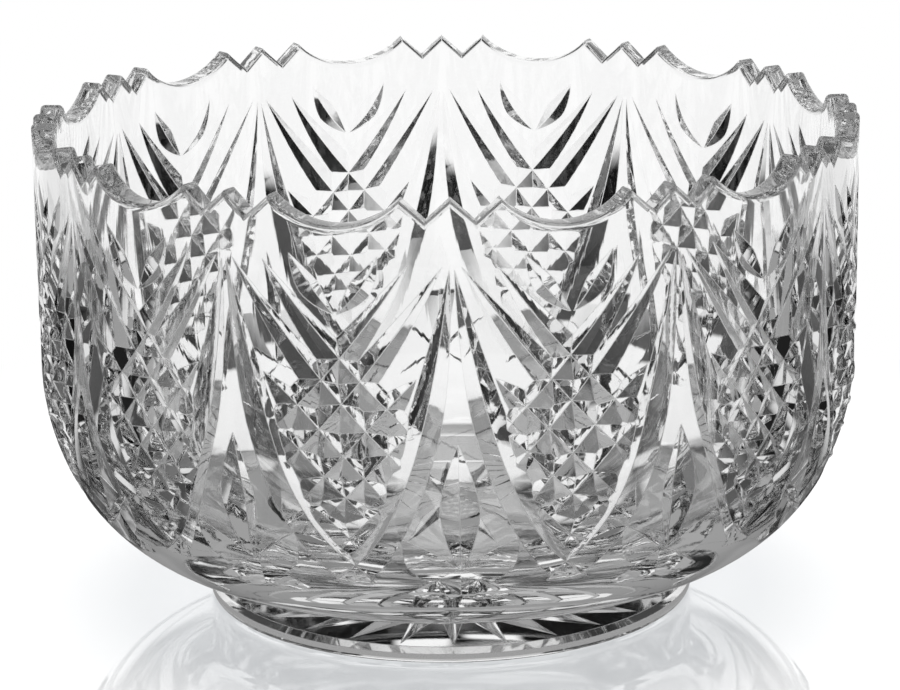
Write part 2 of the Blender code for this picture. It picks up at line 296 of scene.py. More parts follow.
def cut_depth(cut, share):
    """Wheel depth along a cut: it enters and leaves along a slow ramp and ends just off the glass."""
    nearest = min(1.0, share / cut.run_in, (1.0 - share) / cut.run_out)
    full = cut.half_width / math.tan(cut.wheel)
    return (full + RUN_OUT) * (1.0 - (1.0 - nearest) ** RAMP) - RUN_OUT


print("cuts in half a repeat:", ", ".join(CUTS))

# %% Cutters
WheelCut = namedtuple("WheelCut", "mesh path")


def cutter_rings(cut):
    """Corners of the V section at each step of a cut, and the line of its bottom on the uncut surface."""
    shares = [step / cut.steps for step in range(cut.steps + 1)]
    spots = [cut_spot(cut, share) for share in shares]
    path = [outer_point(*spot) for spot in spots]
    rings = []
    for step, spot in enumerate(spots):
        normal = outer_normal(*spot)
        ahead = path[min(step + 1, cut.steps)] - path[max(step - 1, 0)]
        side = ahead.cross(normal).normalized()
        axis = normal * math.cos(cut.lean) + side * math.sin(cut.lean)
        flank = side * math.cos(cut.lean) - normal * math.sin(cut.lean)
        deep = cut_depth(cut, shares[step])
        half_width = (deep + HEADROOM) * math.tan(cut.wheel)
        top = path[step] + axis * HEADROOM
        rings.append((path[step] - axis * deep, top + flank * half_width, top - flank * half_width))
    return rings, path


def cutter(cut):
    rings, path = cutter_rings(cut)
    bm = bmesh.new()
    rings = [[bm.verts.new(corner) for corner in ring] for ring in rings]
    for near, far in zip(rings, rings[1:]):
        for corner in range(3):
            following = (corner + 1) % 3
            bm.faces.new((near[corner], near[following], far[following]))
            bm.faces.new((near[corner], far[following], far[corner]))
    bm.faces.new(rings[0])
    bm.faces.new(rings[-1])
    return WheelCut(mesh_from(bm, "wheel_cut"), path)


def twin_across(made, plane_angle):
    """Mirror image of a cutter across the upright plane at an angle through the axis."""
    cosine = math.cos(2 * plane_angle)
    sine = math.sin(2 * plane_angle)
    mirror = Matrix(((cosine, sine, 0.0), (sine, -cosine, 0.0), (0.0, 0.0, 1.0)))
    twin = made.mesh.copy()
    for vert in twin.vertices:
        vert.co = mirror @ vert.co
    twin.flip_normals()
    return WheelCut(twin, [mirror @ point for point in made.path])


def all_cutters():
    made = []
    for cut in CUTS.values():
        first = cutter(cut)
        made += [first] + [twin_across(first, plane) for plane in cut.planes]
    return made


wheel_cuts = all_cutters()
print("wheel passes that reach one half repeat:", len(wheel_cuts))

# %% [markdown]
# ## Cutting the wedge
# One Boolean takes out every pass at once. Each cutter wears a material number of its own, which the
# Boolean hands to the faces that it leaves behind. So each facet still knows which pass made it, and
# can carry a map whose first axis runs along the groove. The polish marks of the wheel follow it later.

# %% Cut one wedge and map its facets
POLISHED, CUT, FUSED = 0, 1, 2


def cut_wedge():
    wedge = bpy.data.objects.new("wall_wedge", wedge_mesh())
    bpy.context.scene.collection.objects.link(wedge)
    bench = bpy.data.collections.new("bench")
    bpy.context.scene.collection.children.link(bench)
    blank = bpy.data.materials.new("blank")
    for _ in range(len(wheel_cuts) + 1):
        wedge.data.materials.append(blank)
    for number, made in enumerate(wheel_cuts, 1):
        made.mesh.polygons.foreach_set("material_index", [number] * len(made.mesh.polygons))
        for _ in range(len(wheel_cuts) + 1):
            made.mesh.materials.append(blank)
        bench.objects.link(bpy.data.objects.new("wheel_cut", made.mesh))
    taken = wedge.modifiers.new("cuts", "BOOLEAN")
    taken.operation = "DIFFERENCE"
    taken.solver = "EXACT"
    taken.material_mode = "INDEX"
    taken.operand_type = "COLLECTION"
    taken.collection = bench
    graph = bpy.context.evaluated_depsgraph_get()
    mesh = bpy.data.meshes.new_from_object(wedge.evaluated_get(graph))
    for item in [*bench.objects, wedge]:
        bpy.data.objects.remove(item, do_unlink=True)
    bpy.data.collections.remove(bench)
    return mesh


def along_and_across(point, path):
    """Arc length to the nearest spot of a path, and the distance from it."""
    best = None
    run = 0.0
    for start, end in zip(path, path[1:]):
        leg = end - start
        share = min(1.0, max(0.0, (point - start).dot(leg) / leg.length_squared))
        off = point - start - leg * share
        if best is None or off.length < best[1]:
            best = (run + share * leg.length, off.length)
        run += leg.length
    return best


def map_facets(bm):
    """Lay the wheel map on the facets, in metres, and fold the material numbers to one for all cuts."""
    wheel_map = bm.loops.layers.uv.new("wheel")
    for face in bm.faces:
        if face.material_index == 0:
            continue
        path = wheel_cuts[face.material_index - 1].path
        for loop in face.loops:
            loop[wheel_map].uv = along_and_across(loop.vert.co, path)
        face.material_index = CUT


wedge = cut_wedge()
print("faces of the cut wedge:", len(wedge.polygons))

# %% [markdown]
# ## Laying the repeats round
# The pattern is its own mirror image about the middle of each repeat. So the wedge is trimmed at the two
# mirror planes, mirrored once and then turned round the axis. An array modifier could do the turning, but
# its merge can't be trusted with thousands of points that lie a hair apart.

# %% Trim, mirror and turn
WELD = 0.002 * MM


def trim_to_half(bm):
    planes = (Vector((0.0, -1.0, 0.0)), Vector((-math.sin(HALF_REPEAT), math.cos(HALF_REPEAT), 0.0)))
    for outward in planes:
        geometry = bm.verts[:] + bm.edges[:] + bm.faces[:]
        bmesh.ops.bisect_plane(bm, geom=geometry, dist=WELD, plane_co=(0.0, 0.0, 0.0),
                               plane_no=outward, clear_outer=True)
        for vert in bm.verts:
            off = vert.co.dot(outward)
            if abs(off) < WELD:
                vert.co -= outward * off
    core = [f for f in bm.faces if all(v.co.xy.length < CORE_RADIUS + WELD for v in f.verts)]
    bmesh.ops.delete(bm, geom=core, context="FACES")


def lay_round(bm):
    half = bm.verts[:] + bm.edges[:] + bm.faces[:]
    twin = bmesh.ops.duplicate(bm, geom=half)["geom"]
    for vert in (item for item in twin if isinstance(item, bmesh.types.BMVert)):
        vert.co.y = -vert.co.y
    bmesh.ops.reverse_faces(bm, faces=[item for item in twin if isinstance(item, bmesh.types.BMFace)])
    repeat = bm.verts[:] + bm.edges[:] + bm.faces[:]
    for number in range(1, REPEATS):
        copied = bmesh.ops.duplicate(bm, geom=repeat)["geom"]
        verts = [item for item in copied if isinstance(item, bmesh.types.BMVert)]
        bmesh.ops.rotate(bm, verts=verts, matrix=Matrix.Rotation(2 * HALF_REPEAT * number, 3, "Z"))
    bmesh.ops.remove_doubles(bm, verts=bm.verts, dist=WELD)
    core_loops = [edge for edge in bm.edges if edge.is_boundary]
    bmesh.ops.holes_fill(bm, edges=core_loops, sides=0)
    bmesh.ops.rotate(bm, verts=bm.verts, matrix=Matrix.Rotation(-math.pi / 2, 3, "Z"))


def body_bmesh():
    bm = bmesh.new()
    bm.from_mesh(wedge)
    map_facets(bm)
    trim_to_half(bm)
    bmesh.ops.remove_doubles(bm, verts=bm.verts, dist=WELD)
    bmesh.ops.triangulate(bm, faces=bm.faces)
    lay_round(bm)
    return bm


bm = body_bmesh()
print("body faces:", len(bm.faces), "open edges:", sum(not edge.is_manifold for edge in bm.edges))

# %% [markdown]
# ## Drift of the hand
# No cutter repeats a pattern perfectly twelve times. Seen from the front, the lower cuts have slipped
# about a degree to the right of the points above them, and on the far wall to the left. A slow twist that
# fades towards the rim gives that drift. The turned surfaces don't change under a twist, so the wall keeps
# its thickness.

# %% Twist the cuts and finish the body mesh
DRIFT = math.radians(1.2)
DRIFT_FADE = 0.7
WANDER = math.radians(0.16)
WANDER_WAVES = 5.0
WANDER_START = 1.0
SHARP_ANGLE = math.radians(11.0)


def drift_of_the_hand(bm):
    for vert in bm.verts:
        fade = min(1.0, max(0.0, 1.0 - vert.co.z / PANEL_HEAD)) ** DRIFT_FADE
        round_axis = math.atan2(vert.co.y, vert.co.x)
        slip = DRIFT + WANDER * math.sin(WANDER_WAVES * round_axis + WANDER_START)
        vert.co.xy = Matrix.Rotation(slip * fade, 2) @ vert.co.xy


def mark_fused_faces(bm):
    for face in bm.faces:
        if all(abs(vert.co.z + LIP) < WELD for vert in face.verts):
            face.material_index = FUSED


def finished_piece(bm, name, materials, height):
    mesh = mesh_from(bm, name)
    for material in materials:
        mesh.materials.append(material)
    mesh.shade_smooth()
    mesh.set_sharp_from_angle(angle=SHARP_ANGLE)
    piece = bpy.data.objects.new(name, mesh)
    piece.location.z = height
    bpy.context.scene.collection.objects.link(piece)
    return piece


drift_of_the_hand(bm)
mark_fused_faces(bm)
print("cut facets:", sum(face.material_index == CUT for face in bm.faces))

# %% [markdown]
# ## Polish marks
# Crystal is never quite flat. Blown glass keeps slow waves from the mould and the fire, and a cut facet
# keeps the lines of the wheel, which run along the groove. Both are heights that a Bump node turns into
# a bent normal. Where two facets meet, polishing has rounded the edge by a hair and left it a little dull,
# so it catches light as a thin pale line. A real bevel would double the mesh, so a Bevel node bends the
# normals there instead. All three are made once as node groups, and each finish uses them at its own scale.

# %% Node groups for polish marks
LINE_HAZE = 0.03
WAVE_HAZE = 0.012
CHATTER_PACE = 4.0
RIPPLE_PACE = 9.0
EDGE_TURN = (0.975, 0.995)


def new_group(name, inputs, outputs):
    group = bpy.data.node_groups.new(name, "ShaderNodeTree")
    for socket, kind, value in inputs:
        made = group.interface.new_socket(socket, in_out="INPUT", socket_type=kind)
        if value is not None:
            made.default_value = value
    for socket, kind in outputs:
        group.interface.new_socket(socket, in_out="OUTPUT", socket_type=kind)
    return group, group.nodes.new("NodeGroupInput"), group.nodes.new("NodeGroupOutput")


def math_node(tree, operation, first, second):
    node = tree.nodes.new("ShaderNodeMath")
    node.operation = operation
    for socket, value in zip(node.inputs, (first, second)):
        if isinstance(value, (int, float)):
            socket.default_value = value
        else:
            tree.links.new(value, socket)
    return node.outputs["Value"]


def smooth_step(tree, value, start, end, low=0.0, high=1.0):
    node = tree.nodes.new("ShaderNodeMapRange")
    node.interpolation_type = "SMOOTHSTEP"
    for socket, number in (("From Min", start), ("From Max", end), ("To Min", low), ("To Max", high)):
        node.inputs[socket].default_value = number
    tree.links.new(value, node.inputs["Value"])
    return node.outputs["Result"]


def make_wheel_marks():
    """Fine lines along a groove, and a slower chatter across it."""
    group, given, out = new_group(
        "wheel_marks",
        [("Wheel Map", "NodeSocketVector", None), ("Lines per Metre", "NodeSocketFloat", 2500.0),
         ("Stretch", "NodeSocketFloat", 0.03), ("Chatter", "NodeSocketFloat", 0.35)],
        [("Height", "NodeSocketFloat"), ("Haze", "NodeSocketFloat")])
    split = group.nodes.new("ShaderNodeSeparateXYZ")
    group.links.new(given.outputs["Wheel Map"], split.inputs["Vector"])
    across = math_node(group, "MULTIPLY", split.outputs["Y"], given.outputs["Lines per Metre"])
    lines_along = math_node(group, "MULTIPLY", given.outputs["Lines per Metre"], given.outputs["Stretch"])
    along = math_node(group, "MULTIPLY", split.outputs["X"], lines_along)
    join = group.nodes.new("ShaderNodeCombineXYZ")
    group.links.new(along, join.inputs["X"])
    group.links.new(across, join.inputs["Y"])
    lines = group.nodes.new("ShaderNodeTexNoise")
    lines.inputs["Scale"].default_value = 1.0
    lines.inputs["Detail"].default_value = 3.0
    group.links.new(join.outputs["Vector"], lines.inputs["Vector"])
    ripple = group.nodes.new("ShaderNodeTexNoise")
    ripple.noise_dimensions = "1D"
    ripple.inputs["Scale"].default_value = 1.0
    ripple.inputs["Detail"].default_value = 1.0
    group.links.new(math_node(group, "MULTIPLY", along, CHATTER_PACE), ripple.inputs["W"])
    chatter = math_node(group, "MULTIPLY", ripple.outputs["Fac"], given.outputs["Chatter"])
    group.links.new(math_node(group, "ADD", lines.outputs["Fac"], chatter), out.inputs["Height"])
    group.links.new(math_node(group, "MULTIPLY", lines.outputs["Fac"], LINE_HAZE), out.inputs["Haze"])
    return group


def make_fire_waves():
    """Slow waves of blown glass with a trace of finer ripple."""
    group, given, out = new_group(
        "fire_waves",
        [("Vector", "NodeSocketVector", None), ("Waves per Metre", "NodeSocketFloat", 30.0),
         ("Ripple", "NodeSocketFloat", 0.08)],
        [("Height", "NodeSocketFloat"), ("Haze", "NodeSocketFloat")])
    slow = group.nodes.new("ShaderNodeTexNoise")
    slow.inputs["Detail"].default_value = 0.0
    fine = group.nodes.new("ShaderNodeTexNoise")
    fine.inputs["Detail"].default_value = 2.0
    for texture in (slow, fine):
        group.links.new(given.outputs["Vector"], texture.inputs["Vector"])
    group.links.new(given.outputs["Waves per Metre"], slow.inputs["Scale"])
    fine_waves = math_node(group, "MULTIPLY", given.outputs["Waves per Metre"], RIPPLE_PACE)
    group.links.new(fine_waves, fine.inputs["Scale"])
    ripple = math_node(group, "MULTIPLY", fine.outputs["Fac"], given.outputs["Ripple"])
    group.links.new(math_node(group, "ADD", slow.outputs["Fac"], ripple), out.inputs["Height"])
    group.links.new(math_node(group, "MULTIPLY", fine.outputs["Fac"], WAVE_HAZE), out.inputs["Haze"])
    return group


def make_polished_edges():
    """Rounded normals along the sharp edges, and a haze that rises where they lean off the facet."""
    group, given, out = new_group(
        "polished_edges",
        [("Radius", "NodeSocketFloat", 0.35 * MM), ("Edge Haze", "NodeSocketFloat", 0.3)],
        [("Normal", "NodeSocketVector"), ("Haze", "NodeSocketFloat")])
    bevel = group.nodes.new("ShaderNodeBevel")
    bevel.samples = 4
    group.links.new(given.outputs["Radius"], bevel.inputs["Radius"])
    flat = group.nodes.new("ShaderNodeNewGeometry")
    lean = group.nodes.new("ShaderNodeVectorMath")
    lean.operation = "DOT_PRODUCT"
    group.links.new(bevel.outputs["Normal"], lean.inputs[0])
    group.links.new(flat.outputs["Normal"], lean.inputs[1])
    dull = smooth_step(group, lean.outputs["Value"], *EDGE_TURN, 1.0, 0.0)
    group.links.new(math_node(group, "MULTIPLY", dull, given.outputs["Edge Haze"]), out.inputs["Haze"])
    group.links.new(bevel.outputs["Normal"], out.inputs["Normal"])
    return group


wheel_marks = make_wheel_marks()
fire_waves = make_fire_waves()
polished_edges = make_polished_edges()
print("node groups:", [group.name for group in bpy.data.node_groups])

# %% [markdown]
# ## Crystal
# Lead crystal bends light more than window glass, at an index of about 1.55, and is nearly colourless.
# All finishes are the Principled shader at full transmission with different marks. A renderer without
# caustics gives glass a black shadow, so shadow rays pass through a plain transparent shader instead.

# %% Crystal finishes
CRYSTAL_IOR = 1.545
CLEAR = (0.997, 0.998, 0.998, 1.0)
SHADOW_TINT = (0.86, 0.87, 0.88, 1.0)
EDGES = {"Radius": 0.35 * MM, "Edge Haze": 0.3}
MARK_STRENGTH = 0.5


def place(tree, group, values):
    node = tree.nodes.new("ShaderNodeGroup")
    node.node_tree = group
    for socket, value in values.items():
        node.inputs[socket].default_value = value
    return node


def let_shadows_through(tree, shader):
    """Shadow rays meet a plain transparent shader in place of the glass."""
    path = tree.nodes.new("ShaderNodeLightPath")
    pass_through = tree.nodes.new("ShaderNodeBsdfTransparent")
    pass_through.inputs["Color"].default_value = SHADOW_TINT
    mix = tree.nodes.new("ShaderNodeMixShader")
    tree.links.new(path.outputs["Is Shadow Ray"], mix.inputs["Fac"])
    tree.links.new(shader.outputs["BSDF"], mix.inputs[1])
    tree.links.new(pass_through.outputs["BSDF"], mix.inputs[2])
    tree.links.new(mix.outputs["Shader"], tree.nodes["Material Output"].inputs["Surface"])


def crystal(name, group, values, depth):
    """A clear finish with the marks of one node group, which are as deep as given."""
    material = bpy.data.materials.new(name)
    material.use_nodes = True
    tree = material.node_tree
    shader = tree.nodes["Principled BSDF"]
    shader.inputs["Base Color"].default_value = CLEAR
    shader.inputs["Metallic"].default_value = 0.0
    shader.inputs["Transmission Weight"].default_value = 1.0
    shader.inputs["IOR"].default_value = CRYSTAL_IOR
    marks = place(tree, group, values)
    if group == wheel_marks:
        wheel_map = tree.nodes.new("ShaderNodeUVMap")
        wheel_map.uv_map = "wheel"
        tree.links.new(wheel_map.outputs["UV"], marks.inputs["Wheel Map"])
    else:
        spot = tree.nodes.new("ShaderNodeTexCoord")
        tree.links.new(spot.outputs["Object"], marks.inputs["Vector"])
    edges = place(tree, polished_edges, EDGES)
    bump = tree.nodes.new("ShaderNodeBump")
    bump.inputs["Strength"].default_value = MARK_STRENGTH
    bump.inputs["Distance"].default_value = depth
    tree.links.new(edges.outputs["Normal"], bump.inputs["Normal"])
    tree.links.new(marks.outputs["Height"], bump.inputs["Height"])
    tree.links.new(bump.outputs["Normal"], shader.inputs["Normal"])
    haze = math_node(tree, "MAXIMUM", marks.outputs["Haze"], edges.outputs["Haze"])
    tree.links.new(haze, shader.inputs["Roughness"])
    let_shadows_through(tree, shader)
    return material


def fused(name):
    """The joint inside one mass of glass: nothing to see, so light goes straight through."""
    material = bpy.data.materials.new(name)
    material.use_nodes = True
    material.node_tree.nodes["Principled BSDF"].inputs["Alpha"].default_value = 0.0
    return material


blown_crystal = crystal("blown_crystal", fire_waves, {"Waves per Metre": 30.0, "Ripple": 0.08}, 0.003 * MM)
cut_crystal = crystal("cut_crystal", wheel_marks,
                      {"Lines per Metre": 2500.0, "Stretch": 0.03, "Chatter": 0.35}, 0.012 * MM)
fused_joint = fused("fused_joint")
print("finishes:", blown_crystal.name, cut_crystal.name, fused_joint.name)

# %% Body
crystal_body = finished_piece(bm, "crystal_body", (blown_crystal, cut_crystal, fused_joint), SEAT)
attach(crystal_body, "root")
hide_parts("bowl_body")
print("crystal_body faces:", len(crystal_body.data.polygons))

# %% [markdown]
# ## The foot
# The foot is a gather of glass that is pressed on under the body, ground flat on a narrow ring and cut
# with a star. Its outside is turned, so rings of points make it. The star's facets run from one deep
# point in the middle to a zigzag outline, and each is a single flat face, as the wheel leaves it.

# %% Foot mesh
FOOT_STEPS = 192
EDGE_STEPS = 6
REST_WIDTH = 11.0 * MM
RECESS_DEPTH = 1.5 * MM
STAR_DEPTH = 3.5 * MM
STAR_POINTS = 24
STAR_MARGIN = 2.0 * MM
STAR_HUB_RADIUS = 18.0 * MM
RECESS_RADIUS = FOOT_RADIUS - FOOT_EDGE - REST_WIDTH
STAR_REACH = RECESS_RADIUS - RECESS_DEPTH - STAR_MARGIN
GROUND = 3


def ring_of(bm, radius, height):
    turns = [2 * math.pi * step / FOOT_STEPS for step in range(FOOT_STEPS)]
    return [bm.verts.new((radius * math.cos(turn), radius * math.sin(turn), height)) for turn in turns]


def foot_section():
    """Turned half section of the foot, from the joint's edge out and round to the recess."""
    section = [(JOINT_RADIUS, FOOT_TOP)]
    section += arc((FOOT_RADIUS - FOOT_LEDGE / 2, FOOT_TOP - FOOT_LEDGE / 2), FOOT_LEDGE / 2, FOOT_LEDGE / 2,
                   math.pi / 2, 0.0, EDGE_STEPS)
    section += arc((FOOT_RADIUS - FOOT_EDGE, FOOT_EDGE), FOOT_EDGE, FOOT_EDGE, 0.0, -math.pi / 2, EDGE_STEPS)
    section += [(RECESS_RADIUS, 0.0), (RECESS_RADIUS - RECESS_DEPTH, RECESS_DEPTH)]
    return section


def star_outline(bm):
    outline = []
    for step in range(2 * STAR_POINTS):
        turn = math.pi * step / STAR_POINTS
        radius = STAR_REACH if step % 2 == 0 else STAR_HUB_RADIUS
        outline.append(bm.verts.new((radius * math.cos(turn), radius * math.sin(turn), RECESS_DEPTH)))
    return outline


def foot_bmesh():
    bm = bmesh.new()
    bm.loops.layers.uv.new("wheel")
    section = foot_section()
    rings = [ring_of(bm, radius, height) for radius, height in section]
    for number, (upper, lower) in enumerate(zip(rings, rings[1:])):
        resting = section[number][1] == 0.0 and section[number + 1][1] == 0.0
        for step in range(FOOT_STEPS):
            following = (step + 1) % FOOT_STEPS
            face = bm.faces.new((upper[step], lower[step], lower[following], upper[following]))
            face.material_index = GROUND if resting else POLISHED
    bm.faces.new(rings[0]).material_index = FUSED
    middle = bm.verts.new((0.0, 0.0, RECESS_DEPTH + STAR_DEPTH))
    outline = star_outline(bm)
    recess = rings[-1]
    span = FOOT_STEPS // (2 * STAR_POINTS)
    for step, spot in enumerate(outline):
        following = outline[(step + 1) % len(outline)]
        bm.faces.new((middle, spot, following)).material_index = CUT
        edge = [recess[(step * span + k) % FOOT_STEPS] for k in range(span + 1)]
        bm.faces.new([following, spot] + edge)
    return bm


def map_star(bm):
    """Lay the wheel map on the star so that its lines run from the middle to the points."""
    wheel_map = bm.loops.layers.uv["wheel"]
    for face in bm.faces:
        if face.material_index != CUT:
            continue
        outward = face.calc_center_median().xy.normalized()
        for loop in face.loops:
            spot = loop.vert.co.xy
            loop[wheel_map].uv = (spot.dot(outward), spot.x * outward.y - spot.y * outward.x)


bm = foot_bmesh()
map_star(bm)
print("foot faces:", len(bm.faces), "open edges:", sum(not edge.is_manifold for edge in bm.edges))

# %% Foot
foot_crystal = crystal("foot_crystal", fire_waves, {"Waves per Metre": 45.0, "Ripple": 0.12}, 0.004 * MM)
ground_ring = crystal("ground_ring", fire_waves, {"Waves per Metre": 900.0, "Ripple": 0.8}, 0.02 * MM)
crystal_foot = finished_piece(bm, "crystal_foot", (foot_crystal, cut_crystal, fused_joint, ground_ring), 0.0)
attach(crystal_foot, "root")
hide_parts("foot")
print("crystal_foot faces:", len(crystal_foot.data.polygons))

# %% [markdown]
# ## Directions round the bowl
# Clear glass has no colour of its own: it is drawn by what stands round it. In a studio a white sweep
# behind the bowl fills the plain glass, and dark cards at the sides give the facets, which bend the view
# aside, something dark to show. Table and world both need to know how far round the axis a spot or a
# direction lies. Cards could be modelled one by one, but a mask from the cosine of the angle is shorter.

# %% Masks round the axis
EDGE_BLUR = math.radians(6.0)


def sectors(tree, split, count, half_width, blur):
    """Mask of evenly spaced sectors round the axis, the first behind the bowl, from a split vector."""
    turn = math_node(tree, "ARCTAN2", split.outputs["X"], split.outputs["Y"])
    wave = math_node(tree, "COSINE", math_node(tree, "MULTIPLY", turn, float(count)), 0.0)
    edges = [math.cos(count * (half_width + side * blur)) for side in (1.0, -1.0)]
    return smooth_step(tree, wave, *edges)


def away_from_back(tree, split, mask, half_width, blur):
    """Keep a mask, or a level, only outside a sector round the back."""
    beyond = math_node(tree, "SUBTRACT", 1.0, sectors(tree, split, 1, half_width, blur))
    return math_node(tree, "MULTIPLY", mask, beyond)


CROSS_COUNT = 8
CROSS_LEVEL = 0.75
CROSS_HALF_WIDTH = math.radians(5.0)
CROSS_BLUR = math.radians(3.0)
CROSS_FROM = math.radians(67.0)


def cross_strips(tree, split):
    """Pale strips of light at the sides and in front, painted on the table and shining in the world, which
    the bowl shows when it is seen from elsewhere.
    """
    strips = sectors(tree, split, CROSS_COUNT, CROSS_HALF_WIDTH, CROSS_BLUR)
    strips = away_from_back(tree, split, strips, CROSS_FROM, EDGE_BLUR)
    return math_node(tree, "MULTIPLY", strips, CROSS_LEVEL)


print("strips:", CROSS_COUNT, "places round, kept beyond", round(math.degrees(CROSS_FROM)), "degrees")

# %% [markdown]
# ## Table
# The bowl stands on a pale polished table. The camera sees it lit by the lamp, with the bowl's shadow and
# its mirror image, and further out it goes over into the white ground. Light that has been through the
# glass finds no lit table but painted light and shade that glows from the table itself, as the studio
# would light it: painted white towards the sweep, dim in front and dark at the sides, painted shade round
# the foot and a little painted light under it. Lamps and cards could light it so, but a level for each
# part of the table can be set by itself and brings no noise.

# %% Table
TABLE_RADIUS = 0.26
TABLE_STEPS = 128
TABLE_COLOUR = (0.95, 0.95, 0.95, 1.0)
TABLE_ROUGHNESS = 0.03
TABLE_IOR = 3.2
POLISH_FROM = 0.17
POLISH_TO = 0.25
# Levels of painted light and shade that the glass sees on the table: painted shade in the bowl's shadow
# round the foot, painted light behind, in front and under the foot.
SHADE_RADIUS = 90.0 * MM
SHADE_BLUR = 4.0 * MM
SHADE_LEVEL = 0.06
SHADE_FAR_LEVEL = 0.25
# Dim painted light on the table in front.
PAINTED_FRONT_LIGHT = 0.18
NEAR_FROM = math.radians(110.0)
LIT_LEVEL = 1.0
LIT_HALF_WIDTH = math.radians(45.0)
LIT_REACH = 0.18
STRIP_HALF_WIDTH = math.radians(14.0)
# Painted light on the table under the foot's recess and under its resting ring.
PAINTED_RECESS_LIGHT = 0.5
PAINTED_RING_LIGHT = 0.35


def painted_outer_light(tree, split, away):
    """Painted light on the table round the bowl: white behind, dim in front, pale strips between."""
    reach = smooth_step(tree, away, LIT_REACH - SHADE_BLUR, LIT_REACH + SHADE_BLUR, LIT_LEVEL, 0.0)
    lit = math_node(tree, "MULTIPLY", sectors(tree, split, 1, LIT_HALF_WIDTH, EDGE_BLUR), reach)
    lit = math_node(tree, "MAXIMUM", lit, sectors(tree, split, 1, STRIP_HALF_WIDTH, EDGE_BLUR))
    lit = math_node(tree, "MAXIMUM", lit, cross_strips(tree, split))
    return math_node(tree, "MAXIMUM", lit, away_from_back(tree, split, PAINTED_FRONT_LIGHT, NEAR_FROM, EDGE_BLUR))


def painted_foot_light(tree, away):
    """Painted light on the table under the foot: brighter under the recess, less under the ring."""
    level = smooth_step(tree, away, STAR_REACH - SHADE_BLUR / 2, STAR_REACH + SHADE_BLUR / 2,
                        PAINTED_RECESS_LIGHT, PAINTED_RING_LIGHT)
    foot = smooth_step(tree, away, FOOT_RADIUS, FOOT_RADIUS + SHADE_BLUR, 1.0, 0.0)
    return math_node(tree, "MULTIPLY", level, foot)


def painted_table_light(tree, split, away):
    """Painted light and shade of the table as the glass sees it."""
    outside = smooth_step(tree, away, SHADE_RADIUS - SHADE_BLUR, SHADE_RADIUS + SHADE_BLUR)
    outer = math_node(tree, "MULTIPLY", outside, painted_outer_light(tree, split, away))
    seen = math_node(tree, "ADD", outer, painted_foot_light(tree, away))
    inside = math_node(tree, "SUBTRACT", 1.0, outside)
    # Painted shade in the bowl's shadow round the foot, lighter behind and at the sides than in front;
    # nowhere is the table painted darker than SHADE_LEVEL.
    far = sectors(tree, split, 1, NEAR_FROM, EDGE_BLUR)
    shade = math_node(tree, "MULTIPLY", math_node(tree, "MULTIPLY", far, inside), SHADE_FAR_LEVEL)
    return math_node(tree, "MAXIMUM", seen, math_node(tree, "MAXIMUM", shade, SHADE_LEVEL))


def table_material():
    material = bpy.data.materials.new("pale_table")
    material.use_nodes = True
    tree = material.node_tree
    shader = tree.nodes["Principled BSDF"]
    shader.inputs["Base Color"].default_value = TABLE_COLOUR
    shader.inputs["Roughness"].default_value = TABLE_ROUGHNESS
    shader.inputs["IOR"].default_value = TABLE_IOR
    place_on = tree.nodes.new("ShaderNodeTexCoord")
    split = tree.nodes.new("ShaderNodeSeparateXYZ")
    tree.links.new(place_on.outputs["Object"], split.inputs["Vector"])
    length = tree.nodes.new("ShaderNodeVectorMath")
    length.operation = "LENGTH"
    tree.links.new(place_on.outputs["Object"], length.inputs[0])
    away = length.outputs["Value"]
    camera_ray = tree.nodes.new("ShaderNodeLightPath").outputs["Is Camera Ray"]
    # The table glows: plain white to the camera, painted light and shade to rays from the glass.
    glow = tree.nodes.new("ShaderNodeEmission")
    seen = math_node(tree, "MAXIMUM", painted_table_light(tree, split, away), camera_ray)
    tree.links.new(seen, glow.inputs["Strength"])
    polish = smooth_step(tree, away, POLISH_FROM, POLISH_TO, 1.0, 0.0)
    mix = tree.nodes.new("ShaderNodeMixShader")
    tree.links.new(math_node(tree, "MULTIPLY", camera_ray, polish), mix.inputs["Fac"])
    tree.links.new(glow.outputs["Emission"], mix.inputs[1])
    tree.links.new(shader.outputs["BSDF"], mix.inputs[2])
    tree.links.new(mix.outputs["Shader"], tree.nodes["Material Output"].inputs["Surface"])
    return material


def table_mesh():
    bm = bmesh.new()
    bmesh.ops.create_circle(bm, cap_ends=True, segments=TABLE_STEPS, radius=TABLE_RADIUS)
    return mesh_from(bm, "table")


table = bpy.data.objects.new("table", table_mesh())
table.data.materials.append(table_material())
bpy.context.scene.collection.objects.link(table)
print("table radius:", TABLE_RADIUS)

# %% [markdown]
# ## World
# Beyond the table stands the rest of the studio: a white sweep behind the bowl, a pale band all round at
# the height where the far wall is looked through, a dim front, a pale floor further down, a light ceiling
# and dark cards between them. They could be planes that glow; a world that is painted by direction needs
# no meshes. The camera sees it all white. Mirror rays see a wider sweep. A refracted ray counts as glossy
# too, so mirror rays are the glossy ones that are not transmitted.

# %% World
ROOM = 0.003
WIDE_HALF_WIDTH = math.radians(27.0)
WIDE_BLUR = math.radians(3.0)
WIDE_SPAN = (math.radians(-14.0), math.radians(12.0))
TALL_HALF_WIDTH = math.radians(14.0)
TALL_SPAN = (math.radians(-60.0), math.radians(12.0))
SLIT_HALF_WIDTH = math.radians(4.0)
SLIT_BLUR = math.radians(1.0)
SLIT_SPAN = (math.radians(8.0), math.radians(28.0))
MIRRORED_HALF_WIDTH = math.radians(50.0)
MIRRORED_SPAN = (math.radians(-10.0), math.radians(45.0))
SPAN_BLUR = math.radians(0.6)
STRIPS_SPAN = (math.radians(-60.0), math.radians(12.0))
BAND_LEVEL = 0.8
BAND_SPAN = (math.radians(-14.0), math.radians(-8.5))
LOW_LEVEL = 0.35
LOW_SPAN = (math.radians(-60.0), math.radians(-15.0))
LOW_FROM = math.radians(32.0)
FRONT_LEVEL = 0.22
FRONT_FROM = math.radians(115.0)
